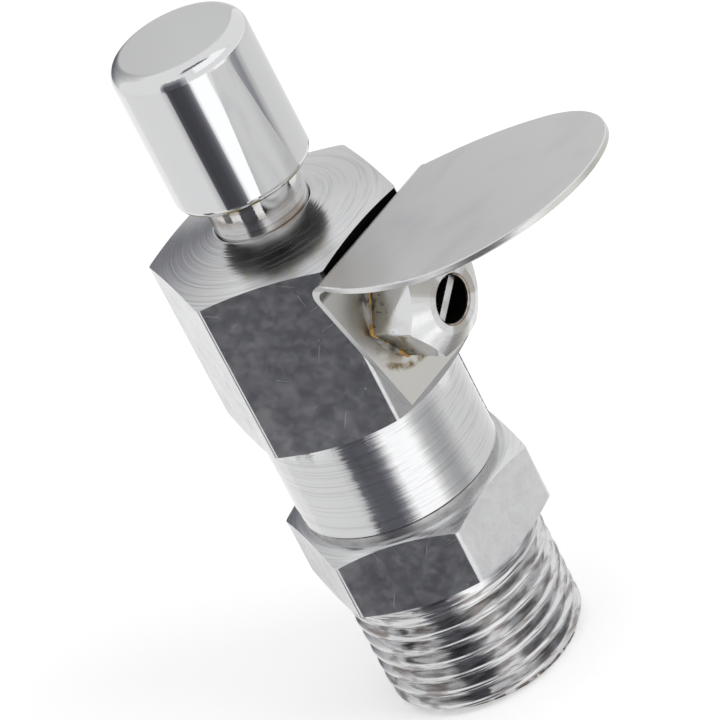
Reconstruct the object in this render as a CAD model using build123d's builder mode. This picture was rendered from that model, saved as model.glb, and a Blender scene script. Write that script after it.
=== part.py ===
from build123d import *
import math
import os

# Push-button drinking fountain bubbler, in millimetres.
# The valve axis is Z, with the button at the top. The origin is on that axis, at the underside
# of the lower hexagon, where the inlet thread ends. The jet and its mouth guard point along -Y.

# Hexagonal bar that the body and the inlet nipple are turned from
HEX_FLATS = 22.2
HEX_CHAMFER_D = 21.4
HEX_CHAMFER_ANGLE = 25
HEX_EDGE_ROUND = 0.6

# Inlet nipple: male half-inch pipe thread, wrench collar and the spigot that screws into the body
THREAD_D = 20.955
THREAD_LENGTH = 14.0
THREAD_LEAD_IN = 1.0
COLLAR_HEIGHT = 8.0
SPIGOT_D = 17.0
SPIGOT_LENGTH = 7.0
NIPPLE_BORE_D = 14.0
WATERWAY_D = 10.5
SPRING_LEDGE_DEPTH = 5.0
STRAINER_LEDGE_DEPTH = 7.0
INLET_MOUTH_D = 14.2

# Body: neck below, hexagon above, closed by a shallow turned cone round the stem
NECK_D = 20.9
NECK_LENGTH = 11.3
NECK_EDGE = 0.3
BODY_HEX_LENGTH = 20.8
TOP_CONE_ANGLE = 15
RIM_D = 10.2
RIM_EDGE = 0.15
SPIGOT_END_GAP = 1.0
VALVE_CHAMBER_D = 15.2
OUTLET_CHAMBER_D = 13.0
OUTLET_CHAMBER_LENGTH = 8.3
PORT_D = 3.0
PORT_ROOF = 0.1

# Push button and stem
PRESS_TRAVEL = 4.0
BUTTON_STOP_GAP = 0.2
BUTTON_D = 14.0
BUTTON_TOP_D = 13.9
BUTTON_HEIGHT = 16.0
BUTTON_CROWN = 0.3
BUTTON_TOP_ROUND = 1.6
BUTTON_BOTTOM_ROUND = 0.8
BUTTON_SOCKET_DEPTH = 1.5
STEM_D = 9.6
STEM_SPIGOT_D = 7.0
STEM_SPIGOT_LENGTH = 7.5
STEM_COLLAR_DROP = 0.7
STEM_CONE_LENGTH = 1.5
ROD_D = 5.0
ROD_FLANGE_D = 6.2
ROD_FLANGE_HEIGHT = 1.2
STUD_D = 4.0
STUD_END = 0.6

# Seals on the stem: cord rings squeezed into two grooves
RING_CORD = 1.5
RING_GROOVE_WIDTH = 1.8
RING_GROOVE_DEPTH = 1.25
RING_PITCH = 2.4
RING_MARGIN = 0.2
RING_GAP = 0.02

# Valve seat, washer and what holds the washer to the stem
SEAT_HEIGHT = 2.9
SEAT_LIP_HEIGHT = 0.7
SEAT_LIP_WIDTH = 0.8
SEAT_HOLE_D = 8.2
SEAT_GASKET_THICKNESS = 0.6
SEAT_GASKET_WIDTH = 1.0
WASHER_D = 10.6
WASHER_THICKNESS = 2.8
HOLDER_D = 12.0
HOLDER_FLOOR = 1.5
HOLDER_LIP = 2.0
LOCK_WASHER_D = 7.4
LOCK_WASHER_THICKNESS = 0.8
LOCK_WASHER_SPLIT = 0.9
NUT_FLATS = 7.0
NUT_HEIGHT = 3.2
NUT_CHAMFER_ANGLE = 30
NUT_EDGE_ROUND = 0.2

# Return spring and its seat
SPRING_MEAN_D = 10.4
SPRING_WIRE_D = 1.1
SPRING_TURNS = 7
SPRING_SEAT_THICKNESS = 2.0
SPRING_SEAT_BOSS_HEIGHT = 1.2
SPRING_SEAT_HOLES = 6
SPRING_SEAT_HOLE_D = 2.2
SPRING_SEAT_HOLE_PITCH_D = 6.2

# Strainer in the inlet mouth
SCREEN_THICKNESS = 0.6
SCREEN_HOLE_D = 1.3
SCREEN_HOLE_PITCH = 1.9
SCREEN_HOLE_ROWS = 2
CLIP_THICKNESS = 1.0
CLIP_WIDTH = 1.1
CLIP_GROOVE_DEPTH = 0.4
CLIP_SPLIT = 2.5

# Jet nozzle, screwed into one flat of the body through the mouth guard
NOZZLE_HEIGHT = 10.6
NOZZLE_FLATS = 9.5
NOZZLE_LENGTH = 6.0
NOZZLE_FACE_D = 6.5
NOZZLE_CHAMFER_ANGLE = 33
NOZZLE_EDGE_ROUND = 0.3
NOZZLE_BORE_D = 4.6
NOZZLE_MOUTH_EDGE = 0.15
NOZZLE_SHANK_D = 8.0
NOZZLE_SHANK_GRIP = 4.0
NOZZLE_TAP_DEPTH = 4.2
NOZZLE_WASHER_D = 10.4
NOZZLE_WASHER_THICKNESS = 0.6
DIVIDER_THICKNESS = 0.85
DIVIDER_LENGTH = 3.0
DIVIDER_RECESS = 0.8
DIVIDER_ANGLE = 34

# Mouth guard: one folded sheet, with a tapered flange on the flat and a tongue over the jet
GUARD_THICKNESS = 0.7
GUARD_BEND_RADIUS = 1.9
GUARD_RISE_ANGLE = 13.5
GUARD_FOLD_HEIGHT = 16.8
GUARD_FLANGE_FOOT = 1.4
GUARD_FLANGE_FOOT_WIDTH = 9.4
GUARD_FOLD_WIDTH = 18.4
GUARD_WIDTH = 24.1
GUARD_WIDEST = 14.8
GUARD_TONGUE_LENGTH = 29.7
GUARD_EDGE_ROUND = 0.15

# Gasket between the body and the nipple
GASKET_THICKNESS = 0.8
GASKET_D = 20.5

# Clearances
THREAD_GAP = 0.05
STEM_GAP = 0.05
SEAT_GAP = 0.02
HOLE_GAP = 0.05
LOOSE_GAP = 0.1
GUARD_HOLE_GAP = 0.15


def tan_deg(angle):
    return math.tan(math.radians(angle))


# Heights along the valve axis, worked out upwards from the shoulder
corner_r = HEX_FLATS / 2 / math.cos(math.radians(30))
flat_y = HEX_FLATS / 2
spigot_top = COLLAR_HEIGHT + SPIGOT_LENGTH
neck_bottom = COLLAR_HEIGHT + GASKET_THICKNESS
hex_bottom = neck_bottom + NECK_LENGTH
rim_z = hex_bottom + BODY_HEX_LENGTH
nozzle_z = hex_bottom + NOZZLE_HEIGHT
chamber_roof = nozzle_z + PORT_D / 2 + PORT_ROOF
chamber_floor = chamber_roof - OUTLET_CHAMBER_LENGTH
seat_top = chamber_floor - SEAT_GASKET_THICKNESS
seat_face = seat_top - SEAT_HEIGHT
washer_bottom = seat_face - WASHER_THICKNESS
holder_bottom = washer_bottom - HOLDER_FLOOR
nut_top = holder_bottom - LOCK_WASHER_THICKNESS
stud_bottom = nut_top - NUT_HEIGHT - STUD_END
lower_ring_z = chamber_roof + PRESS_TRAVEL + RING_CORD / 2 + RING_MARGIN
upper_ring_z = lower_ring_z + RING_PITCH
stem_bottom = chamber_roof + STEM_COLLAR_DROP
button_bottom = rim_z + PRESS_TRAVEL + BUTTON_STOP_GAP
stem_shoulder = button_bottom + BUTTON_SOCKET_DEPTH
spring_ledge = -SPRING_LEDGE_DEPTH
spring_bottom = spring_ledge + SPRING_SEAT_THICKNESS
strainer_ledge = -STRAINER_LEDGE_DEPTH
clip_top = strainer_ledge - SCREEN_THICKNESS

# Distances out from the valve axis along the jet
guard_face = flat_y + GUARD_THICKNESS
nozzle_base = guard_face + NOZZLE_WASHER_THICKNESS
nozzle_front = nozzle_base + NOZZLE_LENGTH
jet_axis = Axis((0, 0, nozzle_z), (0, -1, 0))


def half_section(*points):
    """Closed half section in the XZ plane, given corner by corner as radius and height."""
    with BuildSketch(Plane.XZ) as section:
        with BuildLine():
            Polyline(*points, close=True)
        make_face()
    return section.sketch


def jet_half_section(*points):
    """Closed half section about the jet axis, as distance out along -Y and radius."""
    with BuildSketch(Plane.YZ) as section:
        with BuildLine():
            Polyline(*[(-out, nozzle_z + radius) for out, radius in points], close=True)
        make_face()
    return section.sketch


def hexagon(plane, flats, edge_round, centre=(0, 0)):
    """Hexagon across the given flats with rounded corners, one flat square to the plane's y axis."""
    with BuildSketch(plane) as outline:
        with Locations(centre):
            RegularPolygon(flats / 2, 6, major_radius=False)
        fillet(outline.vertices(), edge_round)
    return outline.sketch


def disc(diameter, height):
    """Round outline about the valve axis at a height."""
    with BuildSketch(Plane.XY.offset(height)) as outline:
        Circle(diameter / 2)
    return outline.sketch


def ring(outer_d, inner_d, bottom, top):
    """Half section of a plain ring about the valve axis."""
    inner, outer = inner_d / 2, outer_d / 2
    return half_section((inner, bottom), (outer, bottom), (outer, top), (inner, top))


os.makedirs("parts", exist_ok=True)

hex_drop = (corner_r - HEX_CHAMFER_D / 2) * tan_deg(HEX_CHAMFER_ANGLE)
cone_drop = (corner_r - RIM_D / 2) * tan_deg(TOP_CONE_ANGLE)
stem_bore_r = STEM_D / 2 + STEM_GAP
spigot_bore_r = SPIGOT_D / 2 + THREAD_GAP

# Body: hexagon with turned ends, neck, stepped bore and the tapped hole for the nozzle
with BuildPart() as body:
    extrude(
        hexagon(Plane.XY.offset(hex_bottom), HEX_FLATS, HEX_EDGE_ROUND),
        amount=BODY_HEX_LENGTH,
    )
    revolve(
        half_section(
            (0, hex_bottom),
            (HEX_CHAMFER_D / 2, hex_bottom),
            (corner_r, hex_bottom + hex_drop),
            (corner_r, rim_z - cone_drop),
            (RIM_D / 2, rim_z),
            (0, rim_z),
        ),
        axis=Axis.Z,
        mode=Mode.INTERSECT,
    )
    extrude(disc(NECK_D, neck_bottom), amount=NECK_LENGTH)
    chamfer(body.edges().group_by(Axis.Z)[0], NECK_EDGE)
    revolve(
        half_section(
            (0, neck_bottom),
            (spigot_bore_r, neck_bottom),
            (spigot_bore_r, spigot_top + SPIGOT_END_GAP),
            (VALVE_CHAMBER_D / 2, spigot_top + SPIGOT_END_GAP),
            (VALVE_CHAMBER_D / 2, chamber_floor),
            (OUTLET_CHAMBER_D / 2, chamber_floor),
            (OUTLET_CHAMBER_D / 2, chamber_roof),
            (stem_bore_r, chamber_roof),
            (stem_bore_r, rim_z - RIM_EDGE),
            (stem_bore_r + RIM_EDGE, rim_z),
            (0, rim_z),
        ),
        axis=Axis.Z,
        mode=Mode.SUBTRACT,
    )
    tap_r = NOZZLE_SHANK_D / 2 + THREAD_GAP
    tap_end = flat_y - NOZZLE_TAP_DEPTH
    revolve(
        jet_half_section(
            (0, 0),
            (0, PORT_D / 2),
            (tap_end, PORT_D / 2),
            (tap_end, tap_r),
            (flat_y, tap_r),
            (flat_y, 0),
        ),
        axis=jet_axis,
        mode=Mode.SUBTRACT,
    )
body.part.label = "body"
export_step(body.part, "parts/body.step")

# Inlet nipple: collar, threaded inlet, spigot and the stepped waterway
clip_groove_r = INLET_MOUTH_D / 2 + CLIP_GROOVE_DEPTH
clip_groove_bottom = clip_top - CLIP_THICKNESS - LOOSE_GAP
with BuildPart() as inlet_nipple:
    extrude(hexagon(Plane.XY, HEX_FLATS, HEX_EDGE_ROUND), amount=COLLAR_HEIGHT)
    revolve(
        half_section(
            (0, 0),
            (HEX_CHAMFER_D / 2, 0),
            (corner_r, hex_drop),
            (corner_r, COLLAR_HEIGHT - hex_drop),
            (HEX_CHAMFER_D / 2, COLLAR_HEIGHT),
            (0, COLLAR_HEIGHT),
        ),
        axis=Axis.Z,
        mode=Mode.INTERSECT,
    )
    revolve(
        half_section(
            (0, -THREAD_LENGTH),
            (THREAD_D / 2 - THREAD_LEAD_IN, -THREAD_LENGTH),
            (THREAD_D / 2, -THREAD_LENGTH + THREAD_LEAD_IN),
            (THREAD_D / 2, 0),
            (0, 0),
        ),
        axis=Axis.Z,
    )
    extrude(disc(SPIGOT_D, COLLAR_HEIGHT), amount=SPIGOT_LENGTH)
    revolve(
        half_section(
            (0, -THREAD_LENGTH),
            (INLET_MOUTH_D / 2, -THREAD_LENGTH),
            (INLET_MOUTH_D / 2, clip_groove_bottom),
            (clip_groove_r, clip_groove_bottom),
            (clip_groove_r, clip_top),
            (INLET_MOUTH_D / 2, clip_top),
            (INLET_MOUTH_D / 2, strainer_ledge),
            (WATERWAY_D / 2, strainer_ledge),
            (WATERWAY_D / 2, spring_ledge),
            (NIPPLE_BORE_D / 2, spring_ledge),
            (NIPPLE_BORE_D / 2, spigot_top),
            (0, spigot_top),
        ),
        axis=Axis.Z,
        mode=Mode.SUBTRACT,
    )
inlet_nipple.part.label = "inlet_nipple"
export_step(inlet_nipple.part, "parts/inlet_nipple.step")

# Flat gasket that the neck is screwed down on
with BuildPart() as body_gasket:
    revolve(ring(GASKET_D, SPIGOT_D + 2 * LOOSE_GAP, COLLAR_HEIGHT, neck_bottom), axis=Axis.Z)
body_gasket.part.label = "body_gasket"
export_step(body_gasket.part, "parts/body_gasket.step")

# Stem: button spigot, sliding collar with two ring grooves, rod, valve flange and threaded stud
groove_r = STEM_D / 2 - RING_GROOVE_DEPTH
stud_shoulder = seat_face + ROD_FLANGE_HEIGHT
with BuildPart() as stem:
    revolve(
        half_section(
            (0, stud_bottom),
            (STUD_D / 2, stud_bottom),
            (STUD_D / 2, seat_face),
            (ROD_FLANGE_D / 2, seat_face),
            (ROD_FLANGE_D / 2, stud_shoulder),
            (ROD_D / 2, stud_shoulder),
            (ROD_D / 2, stem_bottom - STEM_CONE_LENGTH),
            (STEM_D / 2, stem_bottom),
            (STEM_D / 2, stem_shoulder),
            (STEM_SPIGOT_D / 2, stem_shoulder),
            (STEM_SPIGOT_D / 2, stem_shoulder + STEM_SPIGOT_LENGTH),
            (0, stem_shoulder + STEM_SPIGOT_LENGTH),
        ),
        axis=Axis.Z,
    )
    for ring_z in (lower_ring_z, upper_ring_z):
        half_groove = RING_GROOVE_WIDTH / 2
        revolve(
            ring(STEM_D + 2 * STEM_GAP, 2 * groove_r, ring_z - half_groove, ring_z + half_groove),
            axis=Axis.Z,
            mode=Mode.SUBTRACT,
        )
stem.part.label = "stem"
export_step(stem.part, "parts/stem.step")

# Push button: turned cap with a rounded top edge and a faint crown
button_top = button_bottom + BUTTON_HEIGHT
with BuildPart() as push_button:
    with BuildSketch(Plane.XZ):
        with BuildLine():
            Polyline(
                (0, button_top),
                (0, button_bottom),
                (BUTTON_D / 2, button_bottom),
                (BUTTON_TOP_D / 2, button_top - BUTTON_CROWN),
            )
            ThreePointArc(
                (BUTTON_TOP_D / 2, button_top - BUTTON_CROWN),
                (BUTTON_TOP_D / 4, button_top - BUTTON_CROWN / 4),
                (0, button_top),
            )
        make_face()
    revolve(axis=Axis.Z)
    button_rims = push_button.edges().filter_by(lambda edge: edge.is_closed).sort_by(Axis.Z)
    fillet(button_rims[-1], BUTTON_TOP_ROUND)
    fillet(button_rims[0], BUTTON_BOTTOM_ROUND)
    socket_r = STEM_D / 2 + HOLE_GAP
    spigot_hole_r = STEM_SPIGOT_D / 2 + HOLE_GAP
    spigot_hole_top = stem_shoulder + STEM_SPIGOT_LENGTH + LOOSE_GAP
    revolve(
        half_section(
            (0, button_bottom),
            (socket_r, button_bottom),
            (socket_r, stem_shoulder),
            (spigot_hole_r, stem_shoulder),
            (spigot_hole_r, spigot_hole_top),
            (0, spigot_hole_top),
        ),
        axis=Axis.Z,
        mode=Mode.SUBTRACT,
    )
push_button.part.label = "push_button"
export_step(push_button.part, "parts/push_button.step")

# Two sealing rings, each a cord squeezed between its groove and the bore
ring_inner_r = groove_r + RING_GAP
ring_outer_r = stem_bore_r - STEM_GAP
for ring_name, ring_z in (("lower_o_ring", lower_ring_z), ("upper_o_ring", upper_ring_z)):
    with BuildPart() as o_ring:
        with BuildSketch(Plane.XZ):
            with Locations(((ring_inner_r + ring_outer_r) / 2, ring_z)):
                Ellipse((ring_outer_r - ring_inner_r) / 2, RING_CORD / 2)
        revolve(axis=Axis.Z)
    o_ring.part.label = ring_name
    export_step(o_ring.part, f"parts/{ring_name}.step")

# Valve seat: ring with a raised lip that the washer closes on from below
seat_d = VALVE_CHAMBER_D - 2 * SEAT_GAP
seat_shelf = seat_face + SEAT_LIP_HEIGHT
seat_lip_r = SEAT_HOLE_D / 2 + SEAT_LIP_WIDTH
with BuildPart() as valve_seat:
    revolve(
        half_section(
            (SEAT_HOLE_D / 2, seat_face),
            (seat_lip_r, seat_face),
            (seat_lip_r + SEAT_LIP_HEIGHT, seat_shelf),
            (seat_d / 2, seat_shelf),
            (seat_d / 2, seat_top),
            (SEAT_HOLE_D / 2, seat_top),
        ),
        axis=Axis.Z,
    )
valve_seat.part.label = "valve_seat"
export_step(valve_seat.part, "parts/valve_seat.step")

# Gasket above the seat, against the body's ledge
with BuildPart() as seat_gasket:
    revolve(ring(seat_d, seat_d - 2 * SEAT_GASKET_WIDTH, seat_top, chamber_floor), axis=Axis.Z)
seat_gasket.part.label = "seat_gasket"
export_step(seat_gasket.part, "parts/seat_gasket.step")

# Valve washer, the cup that carries it, and the lock washer and nut on the stem's stud
stud_hole_d = STUD_D + 2 * HOLE_GAP
with BuildPart() as valve_washer:
    revolve(ring(WASHER_D, stud_hole_d, washer_bottom, seat_face), axis=Axis.Z)
valve_washer.part.label = "valve_washer"
export_step(valve_washer.part, "parts/valve_washer.step")

cup_r = WASHER_D / 2 + LOOSE_GAP
with BuildPart() as washer_holder:
    revolve(
        half_section(
            (stud_hole_d / 2, holder_bottom),
            (HOLDER_D / 2, holder_bottom),
            (HOLDER_D / 2, washer_bottom + HOLDER_LIP),
            (cup_r, washer_bottom + HOLDER_LIP),
            (cup_r, washer_bottom),
            (stud_hole_d / 2, washer_bottom),
        ),
        axis=Axis.Z,
    )
washer_holder.part.label = "washer_holder"
export_step(washer_holder.part, "parts/washer_holder.step")

with BuildPart() as lock_washer:
    revolve(ring(LOCK_WASHER_D, stud_hole_d, nut_top, holder_bottom), axis=Axis.Z)
    with BuildSketch(Plane.XY.offset(nut_top)):
        with Locations((LOCK_WASHER_D / 2, 0)):
            Rectangle(LOCK_WASHER_D, LOCK_WASHER_SPLIT)
    extrude(amount=LOCK_WASHER_THICKNESS, mode=Mode.SUBTRACT)
lock_washer.part.label = "lock_washer"
export_step(lock_washer.part, "parts/lock_washer.step")

nut_corner_r = NUT_FLATS / 2 / math.cos(math.radians(30))
nut_drop = (nut_corner_r - NUT_FLATS / 2) * tan_deg(NUT_CHAMFER_ANGLE)
nut_bottom = nut_top - NUT_HEIGHT
with BuildPart() as washer_nut:
    extrude(hexagon(Plane.XY.offset(nut_bottom), NUT_FLATS, NUT_EDGE_ROUND), amount=NUT_HEIGHT)
    revolve(
        half_section(
            (stud_hole_d / 2, nut_bottom),
            (NUT_FLATS / 2, nut_bottom),
            (nut_corner_r, nut_bottom + nut_drop),
            (nut_corner_r, nut_top),
            (stud_hole_d / 2, nut_top),
        ),
        axis=Axis.Z,
        mode=Mode.INTERSECT,
    )
washer_nut.part.label = "washer_nut"
export_step(washer_nut.part, "parts/washer_nut.step")

# Return spring: one helix with both ends ground flat
spring_length = holder_bottom - spring_bottom
spring_pitch = spring_length / SPRING_TURNS
with BuildPart() as return_spring:
    with BuildLine(Plane.XY.offset(spring_bottom)) as coil:
        Helix(spring_pitch, spring_length, SPRING_MEAN_D / 2)
    with BuildSketch(Plane(coil.line @ 0, z_dir=coil.line % 0)):
        Circle(SPRING_WIRE_D / 2)
    sweep(is_frenet=True)
    extrude(
        disc(SPRING_MEAN_D + 2 * SPRING_WIRE_D, spring_bottom),
        amount=spring_length,
        mode=Mode.INTERSECT,
    )
return_spring.part.label = "return_spring"
export_step(return_spring.part, "parts/return_spring.step")

# Spring seat: pierced disc on the nipple's ledge, with a boss inside the spring
spring_seat_r = NIPPLE_BORE_D / 2 - LOOSE_GAP
boss_r = (SPRING_MEAN_D - SPRING_WIRE_D) / 2 - LOOSE_GAP
boss_top = spring_bottom + SPRING_SEAT_BOSS_HEIGHT
with BuildPart() as spring_seat:
    revolve(
        half_section(
            (0, spring_ledge),
            (spring_seat_r, spring_ledge),
            (spring_seat_r, spring_bottom),
            (boss_r, spring_bottom),
            (boss_r, boss_top),
            (0, boss_top),
        ),
        axis=Axis.Z,
    )
    with BuildSketch(Plane.XY.offset(spring_ledge)):
        Circle(SPRING_SEAT_HOLE_D / 2)
        with PolarLocations(SPRING_SEAT_HOLE_PITCH_D / 2, SPRING_SEAT_HOLES):
            Circle(SPRING_SEAT_HOLE_D / 2)
    extrude(amount=SPRING_SEAT_THICKNESS + SPRING_SEAT_BOSS_HEIGHT, mode=Mode.SUBTRACT)
spring_seat.part.label = "spring_seat"
export_step(spring_seat.part, "parts/spring_seat.step")

# Strainer: pierced screen against the inlet's inner ledge
with BuildPart() as strainer_screen:
    extrude(disc(INLET_MOUTH_D - 2 * LOOSE_GAP, clip_top), amount=SCREEN_THICKNESS)
    with BuildSketch(Plane.XY.offset(clip_top)):
        Circle(SCREEN_HOLE_D / 2)
        for row in range(1, SCREEN_HOLE_ROWS + 1):
            with PolarLocations(row * SCREEN_HOLE_PITCH, 6 * row):
                Circle(SCREEN_HOLE_D / 2)
    extrude(amount=SCREEN_THICKNESS, mode=Mode.SUBTRACT)
strainer_screen.part.label = "strainer_screen"
export_step(strainer_screen.part, "parts/strainer_screen.step")

# Split clip that snaps into the inlet's groove and holds the screen
clip_outer_d = 2 * (clip_groove_r - LOOSE_GAP)
clip_inner_d = clip_outer_d - 2 * CLIP_WIDTH
with BuildPart() as strainer_clip:
    revolve(ring(clip_outer_d, clip_inner_d, clip_top - CLIP_THICKNESS, clip_top), axis=Axis.Z)
    with BuildSketch(Plane.XY.offset(clip_top - CLIP_THICKNESS)):
        with Locations((0, clip_outer_d / 2)):
            Rectangle(CLIP_SPLIT, clip_outer_d)
    extrude(amount=CLIP_THICKNESS, mode=Mode.SUBTRACT)
strainer_clip.part.label = "strainer_clip"
export_step(strainer_clip.part, "parts/strainer_clip.step")

# Nozzle: hexagon with a turned nose, hollow shank and a through bore
nozzle_corner_r = NOZZLE_FLATS / 2 / math.cos(math.radians(30))
nozzle_drop = (nozzle_corner_r - NOZZLE_FACE_D / 2) * tan_deg(NOZZLE_CHAMFER_ANGLE)
shank_end = flat_y - NOZZLE_SHANK_GRIP
with BuildPart() as nozzle:
    extrude(
        hexagon(Plane.XZ.offset(nozzle_base), NOZZLE_FLATS, NOZZLE_EDGE_ROUND, (0, nozzle_z)),
        amount=NOZZLE_LENGTH,
    )
    revolve(
        jet_half_section(
            (nozzle_base, 0),
            (nozzle_base, nozzle_corner_r),
            (nozzle_front - nozzle_drop, nozzle_corner_r),
            (nozzle_front, NOZZLE_FACE_D / 2),
            (nozzle_front, 0),
        ),
        axis=jet_axis,
        mode=Mode.INTERSECT,
    )
    with BuildSketch(Plane.XZ.offset(shank_end)):
        with Locations((0, nozzle_z)):
            Circle(NOZZLE_SHANK_D / 2)
    extrude(amount=nozzle_base - shank_end)
    with BuildSketch(Plane.XZ.offset(shank_end)):
        with Locations((0, nozzle_z)):
            Circle(NOZZLE_BORE_D / 2)
    extrude(amount=nozzle_front - shank_end, mode=Mode.SUBTRACT)
    mouth_edge = nozzle.edges().group_by(Axis.Y)[0].sort_by(SortBy.LENGTH)[0]
    chamfer(mouth_edge, NOZZLE_MOUTH_EDGE)
nozzle.part.label = "nozzle"
export_step(nozzle.part, "parts/nozzle.step")

# Flat washer under the nozzle's hexagon
with BuildPart() as nozzle_washer:
    with BuildSketch(Plane.XZ.offset(guard_face)):
        with Locations((0, nozzle_z)):
            Circle(NOZZLE_WASHER_D / 2)
            Circle(NOZZLE_SHANK_D / 2 + LOOSE_GAP, mode=Mode.SUBTRACT)
    extrude(amount=NOZZLE_WASHER_THICKNESS)
nozzle_washer.part.label = "nozzle_washer"
export_step(nozzle_washer.part, "parts/nozzle_washer.step")

# Jet divider: flat strip across the nozzle's bore, set back from its mouth
divider_front = nozzle_front - DIVIDER_RECESS
with BuildPart() as jet_divider:
    with BuildSketch(Plane.XZ.offset(divider_front - DIVIDER_LENGTH)):
        with Locations((0, nozzle_z)):
            Circle(NOZZLE_BORE_D / 2 - SEAT_GAP)
            Rectangle(NOZZLE_BORE_D, DIVIDER_THICKNESS, rotation=DIVIDER_ANGLE, mode=Mode.INTERSECT)
    extrude(amount=DIVIDER_LENGTH)
jet_divider.part.label = "jet_divider"
export_step(jet_divider.part, "parts/jet_divider.step")

# Mouth guard: tapered flange and quarter bend from one profile, then the tongue
fold_z = hex_bottom + GUARD_FOLD_HEIGHT
foot_z = hex_bottom + GUARD_FLANGE_FOOT
outer_radius = GUARD_BEND_RADIUS + GUARD_THICKNESS
bend_angle = 90 - GUARD_RISE_ANGLE
bend_centre = Vector(-flat_y - outer_radius, fold_z)


def on_bend(radius, angle):
    """Point of the bend in the YZ plane, by its radius and the angle turned so far."""
    return bend_centre + Vector(radius, 0).rotate(Axis.Z, angle)


bend_top = on_bend(outer_radius, bend_angle)
bend_underside = on_bend(GUARD_BEND_RADIUS, bend_angle)
tongue_plane = Plane(
    (0, bend_top.X, bend_top.Y),
    x_dir=(1, 0, 0),
    z_dir=(0, math.cos(math.radians(bend_angle)), math.sin(math.radians(bend_angle))),
)
half_fold = GUARD_FOLD_WIDTH / 2
half_width = GUARD_WIDTH / 2
tip_length = GUARD_TONGUE_LENGTH - GUARD_WIDEST
side_bow = half_width - half_fold
side_radius = (side_bow**2 + GUARD_WIDEST**2) / (2 * side_bow)
with BuildPart() as mouth_guard:
    with BuildSketch(Plane.YZ):
        with BuildLine():
            Line((-flat_y, foot_z), (-flat_y, fold_z))
            ThreePointArc((-flat_y, fold_z), on_bend(outer_radius, bend_angle / 2), bend_top)
            Line(bend_top, bend_underside)
            ThreePointArc(
                bend_underside,
                on_bend(GUARD_BEND_RADIUS, bend_angle / 2),
                (-guard_face, fold_z),
            )
            Polyline((-guard_face, fold_z), (-guard_face, foot_z), (-flat_y, foot_z))
        make_face()
    extrude(amount=half_fold, both=True)
    with BuildSketch(Plane.XZ.offset(flat_y)):
        with BuildLine():
            Polyline(
                (-GUARD_FLANGE_FOOT_WIDTH / 2, foot_z),
                (GUARD_FLANGE_FOOT_WIDTH / 2, foot_z),
                (half_fold, bend_underside.Y),
                (half_fold, bend_top.Y),
                (-half_fold, bend_top.Y),
                (-half_fold, bend_underside.Y),
                close=True,
            )
        make_face()
    extrude(amount=2 * outer_radius, mode=Mode.INTERSECT)
    with BuildSketch(tongue_plane):
        with BuildLine():
            Line((half_fold, 0), (-half_fold, 0))
            RadiusArc((-half_fold, 0), (-half_width, -GUARD_WIDEST), -side_radius)
            EllipticalCenterArc(
                (0, -GUARD_WIDEST), half_width, tip_length, start_angle=180, arc_size=180
            )
            RadiusArc((half_width, -GUARD_WIDEST), (half_fold, 0), -side_radius)
        make_face()
    extrude(amount=-GUARD_THICKNESS)
    curved_edges = mouth_guard.edges().filter_by(GeomType.LINE, reverse=True)
    tongue_rims = curved_edges.filter_by(lambda edge: edge.center().Y < bend_underside.X)
    fillet(tongue_rims, GUARD_EDGE_ROUND)
    with BuildSketch(Plane.XZ.offset(flat_y)):
        with Locations((0, nozzle_z)):
            Circle(NOZZLE_SHANK_D / 2 + GUARD_HOLE_GAP)
    extrude(amount=GUARD_THICKNESS, mode=Mode.SUBTRACT)
mouth_guard.part.label = "mouth_guard"
export_step(mouth_guard.part, "parts/mouth_guard.step")
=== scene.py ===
"""Looks of the drinking fountain bubbler: finishes, cut thread, spring, sealant, studio and camera."""

import logging
import math
from dataclasses import dataclass
from enum import Enum
from functools import reduce
from typing import Iterable, Optional, Sequence, Union

import bmesh
import bpy
from mathutils import Matrix, Vector, noise


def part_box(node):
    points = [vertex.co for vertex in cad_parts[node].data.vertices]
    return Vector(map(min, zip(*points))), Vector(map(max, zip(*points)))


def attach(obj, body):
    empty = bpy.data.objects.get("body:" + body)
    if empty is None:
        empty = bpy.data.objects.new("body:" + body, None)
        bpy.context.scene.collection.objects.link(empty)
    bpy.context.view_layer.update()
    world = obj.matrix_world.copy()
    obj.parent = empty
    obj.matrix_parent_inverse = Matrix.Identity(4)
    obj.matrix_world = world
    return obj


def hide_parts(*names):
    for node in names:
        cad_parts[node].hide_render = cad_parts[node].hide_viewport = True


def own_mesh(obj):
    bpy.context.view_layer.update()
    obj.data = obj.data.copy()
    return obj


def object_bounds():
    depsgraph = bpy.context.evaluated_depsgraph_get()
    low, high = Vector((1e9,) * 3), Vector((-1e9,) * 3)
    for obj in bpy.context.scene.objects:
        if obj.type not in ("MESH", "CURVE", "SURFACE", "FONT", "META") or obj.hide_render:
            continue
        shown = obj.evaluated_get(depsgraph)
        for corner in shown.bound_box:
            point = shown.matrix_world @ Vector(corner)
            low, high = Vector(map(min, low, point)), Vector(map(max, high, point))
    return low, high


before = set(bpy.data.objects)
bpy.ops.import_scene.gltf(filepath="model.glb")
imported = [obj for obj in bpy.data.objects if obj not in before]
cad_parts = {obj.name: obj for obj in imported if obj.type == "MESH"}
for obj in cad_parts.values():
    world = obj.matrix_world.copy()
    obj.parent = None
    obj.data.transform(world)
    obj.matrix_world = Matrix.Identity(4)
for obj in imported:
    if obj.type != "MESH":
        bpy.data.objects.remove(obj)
CAD_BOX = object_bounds()

LOG = logging.getLogger("bubbler")
MM = 0.001
WHITE = (1.0, 1.0, 1.0, 1.0)
STEEL = (0.55, 0.55, 0.56)

Span = tuple[float, float]
Triple = tuple[float, float, float]
Quad = tuple[float, float, float, float]
Colour = Triple
Socket = bpy.types.NodeSocket
Value = Union[Socket, float, Sequence[float]]


class Body(Enum):
    """The two bodies that the part is made of."""

    HOUSING = "housing"
    PLUNGER = "plunger"


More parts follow.
